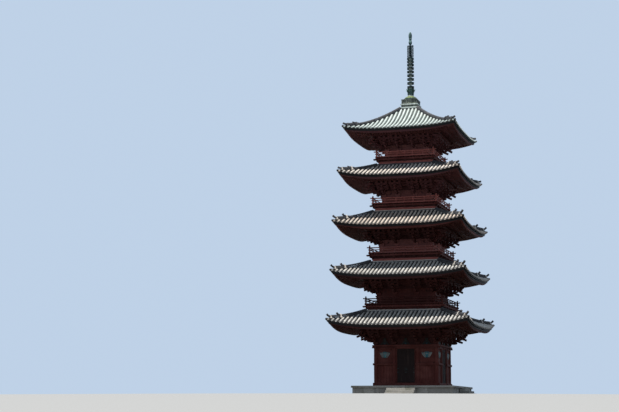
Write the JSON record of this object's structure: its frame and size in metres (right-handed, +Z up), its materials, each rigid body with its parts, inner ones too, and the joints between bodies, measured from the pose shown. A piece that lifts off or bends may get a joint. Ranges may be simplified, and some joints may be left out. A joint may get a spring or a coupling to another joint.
{
  "type": "five-storied timber pagoda",
  "caption": "Square five-storied timber pagoda on a stone podium, hollow inside, with tiled lower roofs, copper upper roofs, railed balconies, a ringed bronze spire and hinged ground doors.",
  "frame": {"origin": "middle of the podium's underside, on the ground", "axes": "+Z up the heart pillar, -Y out of the front doors, +X out of the right doors"},
  "size_m": [11, 11, 29.4],
  "materials": {
    "stone": "dressed grey stone, weathered",
    "red_timber": "iron-red painted timber, dull and weathered",
    "dark_timber": "iron-red painted timber, darkened with age",
    "door_timber": "dark red painted boards",
    "roof_tile": "smoked grey clay tile, matt with a silver sheen",
    "copper_sheet": "verdigris copper sheet over battens, weathered",
    "bronze": "patinated bronze, green-grey"
  },
  "bodies": {
    "root": {"podium": "stone", "ground_floor": "dark_timber", "front_steps": "stone", "front_doorway": "red_timber", "front_corner_walls": "red_timber", "right_steps": "stone", "right_doorway": "red_timber", "right_corner_walls": "red_timber", "back_steps": "stone", "back_doorway": "red_timber", "back_doors": "door_timber", "back_corner_walls": "red_timber", "left_steps": "stone", "left_doorway": "red_timber", "left_doors": "door_timber", "left_corner_walls": "red_timber", "head_beams": "red_timber", "brackets_1": "dark_timber", "eaves_1": "dark_timber", "roof_1": "roof_tile", "balcony_2": "red_timber", "railing_2": "red_timber", "walls_2": "red_timber", "brackets_2": "dark_timber", "eaves_2": "dark_timber", "roof_2": "roof_tile", "balcony_3": "red_timber", "railing_3": "red_timber", "walls_3": "red_timber", "brackets_3": "dark_timber", "eaves_3": "dark_timber", "roof_3": "copper_sheet", "balcony_4": "red_timber", "railing_4": "red_timber", "walls_4": "red_timber", "brackets_4": "dark_timber", "eaves_4": "dark_timber", "roof_4": "copper_sheet", "balcony_5": "red_timber", "railing_5": "red_timber", "walls_5": "red_timber", "brackets_5": "dark_timber", "eaves_5": "dark_timber", "roof_5": "copper_sheet", "heart_pillar": "dark_timber", "roban": "bronze", "dome_and_lotus": "bronze", "nine_rings": "bronze", "flame": "bronze", "jewel": "bronze"},
    "front_door_left": {"front_door_left": "door_timber"},
    "front_door_right": {"front_door_right": "door_timber"},
    "right_door_left": {"right_door_left": "door_timber"},
    "right_door_right": {"right_door_right": "door_timber"}
  },
  "joints": [
    {"name": "front_left_door_hinge", "type": "hinge", "parent": "root", "child": "front_door_left", "pos_m": [-0.6414, -2.405, 2.43], "axis": [0, 0, -1], "range_deg": [0, 90]},
    {"name": "front_right_door_hinge", "type": "hinge", "parent": "root", "child": "front_door_right", "pos_m": [0.6414, -2.405, 2.43], "axis": [0, 0, 1], "range_deg": [0, 90]},
    {"name": "right_left_door_hinge", "type": "hinge", "parent": "root", "child": "right_door_left", "pos_m": [2.405, -0.6414, 2.43], "axis": [0, 0, -1], "range_deg": [0, 90]},
    {"name": "right_right_door_hinge", "type": "hinge", "parent": "root", "child": "right_door_right", "pos_m": [2.405, 0.6414, 2.43], "axis": [0, 0, 1], "range_deg": [0, 90]}
  ]
}
